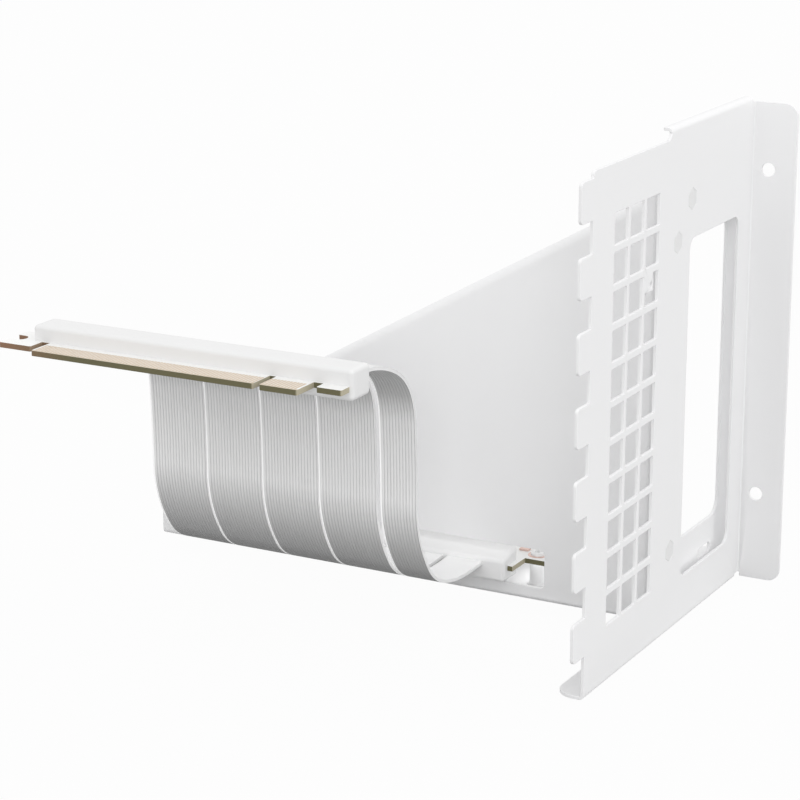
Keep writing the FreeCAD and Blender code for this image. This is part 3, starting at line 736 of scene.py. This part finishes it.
def colour_setting(name, description, default):
    """A colour that can be set."""
    return bpy.props.FloatVectorProperty(
        name=name, description=description, subtype="COLOR", min=0.0, max=1.0, default=default)


def length_setting(name, description, least, most, default):
    """A length that can be set, in metres."""
    return bpy.props.FloatProperty(
        name=name, description=description, unit="LENGTH", precision=5, min=least, max=most,
        default=default)


def power_setting(name, description, most, default):
    """A lamp's power that can be set, in watts."""
    return bpy.props.FloatProperty(
        name=name, description=description, unit="POWER", precision=5, min=0.0, max=most,
        default=default)


class CardMountFinishes(bpy.types.PropertyGroup):
    """Colours of the mount's finishes."""

    paint: colour_setting("Powder Paint", "Colour of the painted sheet metal", (0.86, 0.86, 0.865))
    fastener: colour_setting(
        "Fastener Paint", "Colour of the plate's spacers and their screws", (0.78, 0.78, 0.78))
    screw: colour_setting(
        "Screw Paint", "Colour of the riser board's screws and standoffs", (0.93, 0.93, 0.93))
    plastic: colour_setting(
        "Moulded Plastic", "Colour of the plug bar and the socket", (0.79, 0.79, 0.79))
    block: colour_setting("Moulded Block", "Colour of the cable block", (0.9, 0.9, 0.9))
    mask: colour_setting("Board Lacquer", "Colour of the boards' faces", (0.89, 0.89, 0.88))
    laminate: colour_setting(
        "Board Edge", "Colour of the boards' bare long edges", (0.15, 0.137, 0.067))
    bare: colour_setting(
        "Bare Front", "Colour of the bare board in front of the plug's contacts",
        (0.62, 0.54, 0.43))
    tip: colour_setting(
        "Board Tip", "Colour of the bare edges at the plug's left end", (0.26, 0.145, 0.085))
    # Paler colour painted on board edges that face right, as painted light
    right_lit_edge: colour_setting(
        "Board Cut", "Colour of board edges that are cut across the glass layers",
        (0.45, 0.41, 0.3))
    gold: colour_setting("Contact Gold", "Colour of the plated contacts", (0.68, 0.56, 0.43))
    copper: colour_setting(
        "Pad Copper", "Colour of the pads and rings on the boards", (0.82, 0.6, 0.53))
    # The film colour is also the colour of the painted glow along the ribbons' right edge
    film: colour_setting(
        "Ribbon Film", "Colour of the ribbons' inner face and edges", (0.97, 0.97, 0.97))
    jacket: colour_setting("Ribbon Jacket", "Colour of the ribbons", (0.94, 0.94, 0.94))


class CardMountSizes(bpy.types.PropertyGroup):
    """Sizes of the detail that dresses the solids."""

    sheet_edge: length_setting(
        "Sheet Edge", "Rounding of the painted sheet's edges", 0.00002, 0.0004, 0.00018)
    board_edge: length_setting(
        "Board Edge", "Rounding of the boards' cut edges", 0.00001, 0.0003, 0.00006)
    bar_round: length_setting(
        "Plug Bar Rounding", "Rounding of the plug bar's edges", 0.0002, 0.003, 0.0013)
    block_round: length_setting(
        "Cable Block Rounding", "Rounding of the cable block's edges", 0.0002, 0.002, 0.0013)
    block_rise: length_setting(
        "Cable Block Rise", "How far the cable block's top rises to its back", 0.0, 0.0032, 0.0026)
    socket_edge: length_setting(
        "Socket Edge", "Rounding of the card socket's edges", 0.00005, 0.0006, 0.0002)
    cavity_width: length_setting(
        "Socket Cavity", "Width of the socket's row of contact cavities", 0.003, 0.006, 0.005)
    slot_width: length_setting(
        "Socket Slot", "Width of the slot that takes the card's edge", 0.0016, 0.0026, 0.002)
    contact_pitch: length_setting(
        "Contact Pitch", "Distance from one contact to the next", 0.0005, 0.002, 0.001)
    tooth_width: length_setting(
        "Socket Tooth", "Width of the wall between two contact cavities", 0.0002, 0.0006, 0.00036)
    ribbon_groove: length_setting(
        "Ribbon Groove", "Depth of the grooves between a ribbon's wires", 0.00005, 0.0004, 0.00022)
    ribbon_margin: length_setting(
        "Ribbon Margin", "Width of the plain film along a ribbon's edges", 0.0001, 0.001, 0.0003)
    ribbon_spare: length_setting(
        "Ribbon Spare", "How far the film reaches past the ribbon's solid", 0.0, 0.0004, 0.00005)
    rib_pitch: length_setting(
        "Rib Pitch", "Distance from one wire of a ribbon to the next", 0.0006, 0.002, 0.00102)
    rib_steps: bpy.props.IntProperty(
        name="Rib Steps", description="Faces across one wire of a ribbon",
        min=3, max=12, default=6)
    ring_round: length_setting(
        "Ring Diameter", "Outer diameter of the rings round the board's holes",
        0.004, 0.008, 0.0062)
    plating: length_setting(
        "Plating", "Height of pads and rings above the board", 0.00002, 0.0004, 0.00012)


class CardMountStage(bpy.types.PropertyGroup):
    """Camera, floor and light."""

    eye: bpy.props.FloatVectorProperty(
        name="Camera", description="Place of the camera",
        subtype="TRANSLATION", unit="LENGTH", default=(0.266064, -0.721296, 0.195751))
    tilt: bpy.props.FloatProperty(
        name="Camera Tilt", description="How far the camera looks down",
        subtype="ANGLE", default=0.27707821)
    heading: bpy.props.FloatProperty(
        name="Camera Heading", description="How far the camera turns to the left",
        subtype="ANGLE", default=0.49696471)
    lens: bpy.props.FloatProperty(
        name="Focal Length", description="Focal length on a 36 mm sensor",
        unit="CAMERA", min=20.0, max=300.0, default=116.206)
    floor_gap: length_setting(
        "Floor Gap", "Space between the mount's lowest edge and the floor", 0.0, 0.2, 0.0005)
    sky: bpy.props.FloatProperty(
        name="Room Light", description="Level of the even light from all round",
        min=0.0, max=2.0, default=1.04)
    front: power_setting("Front Light", "Power of the lamp beside the camera", 60.0, 2.0)
    side: power_setting("Side Light", "Power of the soft lamp at the right", 60.0, 2.5)
    fill: power_setting(
        "Fill Light", "Power of the small lamp under the riser board", 0.01, 0.0011)
    gap: power_setting(
        "Gap Light", "Power of the narrow lamp between the two plates", 0.01, 0.0005)
    sill: power_setting(
        "Sill Light", "Power of the narrow lamp below the window's sill", 0.01, 0.00027)
    floor_white: bpy.props.FloatProperty(
        name="Floor Whiteness", description="Share of plain white in the floor as it is seen",
        subtype="FACTOR", min=0.0, max=1.0, default=0.97)


class CardMountSettings(bpy.types.PropertyGroup):
    """All settings of the mount."""

    finishes: bpy.props.PointerProperty(type=CardMountFinishes)
    sizes: bpy.props.PointerProperty(type=CardMountSizes)
    stage: bpy.props.PointerProperty(type=CardMountStage)


# Operators

class CARDMOUNT_OT_sheet_metal(bpy.types.Operator):
    """Rear plate and support bracket in powder-coated folded sheet"""

    bl_idname = "cardmount.sheet_metal"
    bl_label = "Sheet Metal"

    def execute(self, context):
        edge = settings().sizes.sheet_edge
        paint = kept("powder_paint")
        soft_copy("rear_plate", "painted_rear_plate", edge, paint, "white_paint")
        soft_copy("support_bracket", "painted_support_bracket", edge, paint, "white_paint")
        return {"FINISHED"}


class CARDMOUNT_OT_fasteners(bpy.types.Operator):
    """Pressed-in spacers, standoffs and cross-recessed screws"""

    bl_idname = "cardmount.fasteners"
    bl_label = "Fasteners"

    def execute(self, context):
        edge = settings().sizes.sheet_edge
        paint = kept("fastener_paint")
        soft_copy("plate_spacers", "pressed_plate_spacers", edge, paint, "white_paint")
        bright = kept("screw_paint")
        soft_copy("board_standoffs", "pressed_board_standoffs", edge, bright, "white_paint")
        self.drive("board_screws", "z", 1.0, BOARD_SCREW_HEAD, (0.0, 0.0, 0.0), bright)
        self.drive("spacer_screws", "x", -1.0, SPACER_SCREW_HEAD, (0.0, -math.pi / 2.0, 0.0),
                   paint)
        return {"FINISHED"}

    def drive(self, node, axis, sign, head_height, turn, paint):
        """One piece with a screw in the place of each solid of a node."""
        places = []
        for low, high in solid_boxes(node):
            place = (low + high) / 2.0
            top = getattr(high, axis) if sign > 0.0 else getattr(low, axis)
            setattr(place, axis, top - sign * head_height)
            places.append(place)
        size = high - low
        reach = abs(getattr(size, axis)) - head_height
        radius = min(size.y, size.x if axis == "z" else size.z) / 2.0
        shape = self.screw(node + "_form", radius, head_height, reach)
        screws = repeated(
            "driven_" + node, shape, places, paint, turn, SCREW_SPIN, SCREW_SEED)
        joined_to_frame(screws, "screw_paint", node)

    def screw(self, name, radius, height, reach):
        """A pan head with a cross recess, on a plain shank."""
        shank = ((0.0, -reach), (SHANK_RADIUS - SHANK_TIP, -reach),
                 (SHANK_RADIUS, SHANK_TIP - reach), (SHANK_RADIUS, 0.0))
        pan = tuple((wide * radius, high * height) for wide, high in HEAD_PROFILE)
        head = new_piece(name, rings(name, shank + pan, SCREW_SIDES))
        arm = RECESS_ARM * radius
        thin = RECESS_THIN * radius
        plus = ((arm, -thin), (arm, thin), (thin, thin), (thin, arm), (-thin, arm),
                (-thin, thin), (-arm, thin), (-arm, -thin), (-thin, -thin), (-thin, -arm),
                (thin, -arm), (thin, -thin))
        recess = name + "_recess"
        cross = new_piece(recess, mesh_of(recess, *lofted(*(
            [(wide * x, wide * y, level * height) for x, y in plus]
            for wide, level in RECESS_TAPER))))
        cut = head.modifiers.new("recess", "BOOLEAN")
        cut.operation = "DIFFERENCE"
        cut.solver = "EXACT"
        cut.object = cross
        mesh = baked(head).data
        removed(cross)
        bpy.data.objects.remove(head)
        mesh.shade_smooth()
        mesh.set_sharp_from_angle(angle=SHARP_ANGLE)
        return mesh


class CARDMOUNT_OT_riser_board(bpy.types.Operator):
    """Riser board with its rings and pad"""

    bl_idname = "cardmount.riser_board"
    bl_label = "Riser Board"

    def execute(self, context):
        sizes = settings().sizes
        copper = kept("bare_copper")
        soft_board("riser_board", "lacquered_riser_board")
        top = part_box("riser_board")[1].z
        places = []
        for low, high in solid_boxes("board_screws"):
            places.append(((low.x + high.x) / 2.0, (low.y + high.y) / 2.0, top))
        hole = RING_HOLE_RADIUS
        outer = sizes.ring_round / 2.0
        ring = rings("ring_form", (
            (hole, 0.0), (outer, 0.0), (outer, 0.7 * sizes.plating),
            (outer - RING_EDGE, sizes.plating), (hole, sizes.plating), (hole, 0.0)), RING_SIDES)
        joined_to_frame(repeated("plated_rings", ring, places, copper), "gold_plate")
        corner = Vector(places[0]) + PAD_OFFSET
        pad = new_piece("solder_pad", box_mesh("solder_pad", corner, corner + PAD_SIZE))
        soften(pad, PAD_EDGE)
        pad.data.materials.append(copper)
        joined_to_frame(pad, "gold_plate")
        return {"FINISHED"}


class CARDMOUNT_OT_card_socket(bpy.types.Operator):
    """Card socket with a tooth between every two contacts"""

    bl_idname = "cardmount.card_socket"
    bl_label = "Card Socket"

    def execute(self, context):
        sizes = settings().sizes
        plastic = kept("moulded_plastic")
        low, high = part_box("socket_housing")
        middle = (low.y + high.y) / 2.0
        rows = split_rows(row_places("socket_contacts_front"), sizes.contact_pitch)
        housing = self.housing(low, high, middle, rows, sizes)
        housing.data.materials.append(plastic)
        joined_to_frame(housing, "white_plastic", "socket_housing")
        half_pitch = sizes.contact_pitch / 2.0
        places = []
        for row in rows:
            xs = [row[0] - half_pitch] + [x + half_pitch for x in row]
            places += [(x, middle, low.z) for x in xs]
        teeth = repeated("socket_teeth", self.tooth(high.z - low.z, sizes), places, plastic)
        joined_to_frame(teeth, "white_plastic")
        gold = kept("plated_gold")
        for node in ("socket_contacts_front", "socket_contacts_back"):
            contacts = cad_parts[node].data
            contacts.materials.clear()
            contacts.materials.append(gold)
        return {"FINISHED"}

    def housing(self, low, high, middle, rows, sizes):
        """The socket's outer wall, its ends and its key, with two open rows of cavities."""
        half = sizes.cavity_width / 2.0
        first, second = rows
        xs = (low.x, first[0] - CAVITY_END, first[-1] + CAVITY_KEY, second[0] - CAVITY_KEY,
              second[-1] + CAVITY_END, high.x)
        ys = (low.y, middle - half, middle + half, high.y)
        points = [(x, y, z) for z in (low.z, high.z) for y in ys for x in xs]
        layer = len(xs) * len(ys)
        cells = {(i, j) for i in range(len(xs) - 1) for j in range(len(ys) - 1)}
        cells -= {(1, 1), (3, 1)}
        faces = []
        for i, j in sorted(cells):
            ring = [place[1] * len(xs) + place[0]
                    for place in ((i, j), (i + 1, j), (i + 1, j + 1), (i, j + 1))]
            faces.append([corner + layer for corner in ring])
            faces.append(ring[::-1])
            beside = ((i, j - 1), (i + 1, j), (i, j + 1), (i - 1, j))
            for side, cell in enumerate(beside):
                if cell not in cells:
                    here, after = ring[side], ring[(side + 1) % 4]
                    faces.append((here, after, after + layer, here + layer))
        mesh = mesh_of("moulded_socket", points, faces)
        return soften(new_piece("moulded_socket", mesh), sizes.socket_edge)

    def tooth(self, height, sizes):
        """The walls between two cavities, on both sides of the slot, with a lead-in for a card."""
        outer = sizes.cavity_width / 2.0 + TOOTH_ROOT
        inner = sizes.slot_width / 2.0
        half = sizes.tooth_width / 2.0
        top = height - TOOTH_DROP
        outline = ((-outer, 0.0), (-inner, 0.0), (-inner, top - TOOTH_LEAD),
                   (-inner - 0.6 * TOOTH_LEAD, top), (-outer, top))
        points = []
        faces = []
        for side in (1.0, -1.0):
            wall, sides = lofted(*(
                [(x * side, y * side, z) for y, z in outline] for x in (-half, half)))
            faces += [[len(points) + corner for corner in face] for face in sides]
            points += wall
        return mesh_of("tooth_form", points, faces)


class CARDMOUNT_OT_edge_plug(bpy.types.Operator):
    """Edge plug: lacquered board, plated fingers and moulded bar"""

    bl_idname = "cardmount.edge_plug"
    bl_label = "Edge Plug"

    def execute(self, context):
        sizes = settings().sizes
        gold = kept("plated_gold")
        plastic = kept("moulded_plastic")
        soft_board("plug_board", "lacquered_plug_board")
        for side in ("top", "bottom"):
            node = "plug_fingers_" + side
            low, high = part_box(node)
            places = [(x, low.y, low.z) for x in row_places(node)]
            finger = self.finger(high.y - low.y, high.z - low.z)
            fingers = repeated("plated_fingers_" + side, finger, places, gold)
            joined_to_frame(fingers, "gold_plate", node)
        bar = rounded_bar("moulded_plug_bar", "plug_bar", sizes.bar_round)
        bar.data.materials.append(plastic)
        joined_to_frame(bar, "white_plastic", "plug_bar")
        return {"FINISHED"}

    def finger(self, length, thickness):
        """A flat contact with a rounded tip, from its tip's middle at the origin."""
        half = FINGER_WIDTH / 2.0
        outline = [(half, length), (-half, length)]
        for step in range(FINGER_TIP_STEPS + 1):
            turn = math.pi + math.pi * step / FINGER_TIP_STEPS
            outline.append((half * math.cos(turn), half + half * math.sin(turn)))
        return mesh_of("finger_form", *lofted(*(
            [(x, y, z) for x, y in outline] for z in (0.0, thickness))))


class CARDMOUNT_OT_ribbon_cable(bpy.types.Operator):
    """Five ribbed ribbons and the block that joins them to the riser board"""

    bl_idname = "cardmount.ribbon_cable"
    bl_label = "Ribbon Cable"

    def execute(self, context):
        sizes = settings().sizes
        plastic = kept("moulded_block")
        jacket = kept("ribbon_jacket")
        block = rounded_bar("moulded_cable_block", "cable_block", sizes.block_round,
                            sizes.block_rise)
        block.data.materials.append(plastic)
        joined_to_frame(block, "white_plastic", "cable_block")
        for node in RIBBONS:
            low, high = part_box(node)
            width = high.x - low.x
            line = self.route((low.x + high.x) / 2.0)
            name = "ribbed_" + node
            start = mesh_of(name, line)
            start.edges.add(len(line) - 1)
            for place, edge in enumerate(start.edges):
                edge.vertices = (place, place + 1)
            ribbon = grown(new_piece(name, start), ribbed_ribbon(), {
                "Width": width + 2.0 * sizes.ribbon_spare,
                "Thickness": RIBBON_THICKNESS,
                "Groove": sizes.ribbon_groove,
                "Margin": sizes.ribbon_margin,
                "Ribs": round(width / sizes.rib_pitch),
                "Rib Steps": sizes.rib_steps,
                "Finish": jacket,
            })
            ribbon.data.set_sharp_from_angle(angle=RIB_ANGLE)
            joined_to_frame(ribbon, "silver_jacket", node)
        return {"FINISHED"}

    def route(self, x):
        """Points along a ribbon's smooth middle line."""
        curve = bpy.data.curves.new("ribbon_line", "CURVE")
        curve.dimensions = "3D"
        curve.resolution_u = 24
        spline = curve.splines.new("NURBS")
        spline.points.add(len(RIBBON_ROUTE) - 1)
        for point, (y, z) in zip(spline.points, RIBBON_ROUTE):
            point.co = (x, y, z, 1.0)
        spline.order_u = 3
        spline.use_endpoint_u = True
        holder = bpy.data.objects.new("ribbon_line", curve)
        bpy.context.scene.collection.objects.link(holder)
        bpy.context.view_layer.update()
        depsgraph = bpy.context.evaluated_depsgraph_get()
        mesh = bpy.data.meshes.new_from_object(holder.evaluated_get(depsgraph))
        line = [vertex.co.copy() for vertex in mesh.vertices]
        bpy.data.objects.remove(holder)
        bpy.data.curves.remove(curve)
        bpy.data.meshes.remove(mesh)
        return line


class CARDMOUNT_OT_stage(bpy.types.Operator):
    """Camera, pale floor and soft light"""

    bl_idname = "cardmount.stage"
    bl_label = "Stage"

    def execute(self, context):
        scene = context.scene
        stage = settings().stage
        scene.view_settings.view_transform = "Standard"
        data = bpy.data.cameras.new("camera")
        data.lens = stage.lens
        data.sensor_width = 36.0
        data.clip_start = 0.01
        data.clip_end = 50.0
        camera = bpy.data.objects.new("camera", data)
        camera.location = stage.eye
        camera.rotation_euler = (math.pi / 2.0 - stage.tilt, 0.0, stage.heading)
        scene.collection.objects.link(camera)
        scene.camera = camera
        height = CAD_BOX[0][2] - stage.floor_gap
        reach = ((-1, -1), (1, -1), (1, 1), (-1, 1))
        corners = [(FLOOR_REACH * x, FLOOR_REACH * y, height) for x, y in reach]
        floor = new_piece("floor", mesh_of("floor", corners, ((0, 1, 2, 3),)))
        floor.data.materials.append(self.floor_finish(stage.floor_white))
        self.sky(scene, stage.sky)
        low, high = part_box("riser_board")
        under = Vector((high.x, low.y, low.z)) + FILL_OFFSET
        self.lamp("front_light", LAMP_TARGET + FRONT_OFFSET, FRONT_OFFSET, FRONT_SIZE,
                  stage.front)
        self.lamp("side_light", LAMP_TARGET + SIDE_OFFSET, SIDE_OFFSET, SIDE_SIZE, stage.side)
        self.lamp("fill_light", under, UP, FILL_SIZE, stage.fill)
        self.lamp("gap_light", GAP_PLACE, OUTWARD, GAP_SIZE, stage.gap)
        self.lamp("sill_light", SILL_PLACE, OUTWARD, SILL_SIZE, stage.sill)
        return {"FINISHED"}

    def seen(self, graph):
        """One for what the camera sees, directly or in gloss or glass."""
        path = graph.node("ShaderNodeLightPath", output="Is Camera Ray")
        gloss = path.out("Is Glossy Ray")
        glass = path.out("Is Transmission Ray")
        return path.math("MAXIMUM", gloss).math("MAXIMUM", glass)

    def floor_finish(self, whiteness):
        """A pale floor that is almost plain white to the eye and keeps a faint shadow."""
        material, graph, place = start_finish("pale_floor")
        cloud = graph.noise(place, 8.0, 2.0)
        matt = graph.node("ShaderNodeBsdfPrincipled", None, {
            "Base Color": graph.blend(cloud, (0.4, 0.4, 0.4, 1.0), (0.42, 0.42, 0.42, 1.0)),
            "Roughness": 0.9})
        white = graph.node("ShaderNodeEmission", None, {"Color": WHITE, "Strength": 1.0})
        shown = graph.node("ShaderNodeMixShader", None, {
            0: self.seen(graph) * whiteness, 1: matt, 2: white})
        graph.node("ShaderNodeOutputMaterial", None, {"Surface": shown})
        return material

    def sky(self, scene, level):
        """Even room light, plain white where it is seen."""
        world = bpy.data.worlds.new("room")
        world.use_nodes = True
        world.node_tree.nodes.clear()
        graph = Graph(world.node_tree)
        even = graph.node("ShaderNodeBackground", None, {"Color": WHITE, "Strength": level})
        white = graph.node("ShaderNodeBackground", None, {"Color": WHITE, "Strength": 1.0})
        shown = graph.node("ShaderNodeMixShader", None, {0: self.seen(graph), 1: even, 2: white})
        graph.node("ShaderNodeOutputWorld", None, {"Surface": shown})
        scene.world = world

    def lamp(self, name, place, behind, size, power):
        """A soft lamp with its back to a direction; the camera doesn't see the lamp itself."""
        data = bpy.data.lights.new(name, "AREA")
        data.shape = "RECTANGLE"
        data.size, data.size_y = size
        data.energy = power
        lamp = bpy.data.objects.new(name, data)
        lamp.location = place
        lamp.rotation_euler = Vector(behind).to_track_quat("Z", "Y").to_euler()
        lamp.visible_camera = False
        bpy.context.scene.collection.objects.link(lamp)


OPERATORS = (
    CARDMOUNT_OT_sheet_metal,
    CARDMOUNT_OT_fasteners,
    CARDMOUNT_OT_riser_board,
    CARDMOUNT_OT_card_socket,
    CARDMOUNT_OT_edge_plug,
    CARDMOUNT_OT_ribbon_cable,
    CARDMOUNT_OT_stage,
)


class CARDMOUNT_PT_sidebar(bpy.types.Panel):
    """Lists the mount's pieces and settings"""

    bl_idname = "CARDMOUNT_PT_sidebar"
    bl_label = "Card Mount"
    bl_space_type = "VIEW_3D"
    bl_region_type = "UI"
    bl_category = "Card Mount"

    def draw(self, context):
        layout = self.layout
        for operator in OPERATORS:
            layout.operator(operator.bl_idname)
        for group in (settings().finishes, settings().sizes, settings().stage):
            box = layout.box()
            for name in group.__annotations__:
                box.prop(group, name)


CLASSES = (
    CardMountFinishes,
    CardMountSizes,
    CardMountStage,
    CardMountSettings,
    *OPERATORS,
    CARDMOUNT_PT_sidebar,
)


def register():
    """Adds the classes and the scene's settings."""
    for item in CLASSES:
        bpy.utils.register_class(item)
    bpy.types.Scene.card_mount = bpy.props.PointerProperty(type=CardMountSettings)


def unregister():
    """Removes what register added."""
    del bpy.types.Scene.card_mount
    for item in reversed(CLASSES):
        bpy.utils.unregister_class(item)


def main():
    """Builds every piece, then the stage."""
    register()
    bpy.ops.cardmount.sheet_metal()
    bpy.ops.cardmount.fasteners()
    bpy.ops.cardmount.riser_board()
    bpy.ops.cardmount.card_socket()
    bpy.ops.cardmount.edge_plug()
    bpy.ops.cardmount.ribbon_cable()
    bpy.ops.cardmount.stage()


if __name__ == "__main__":
    main()
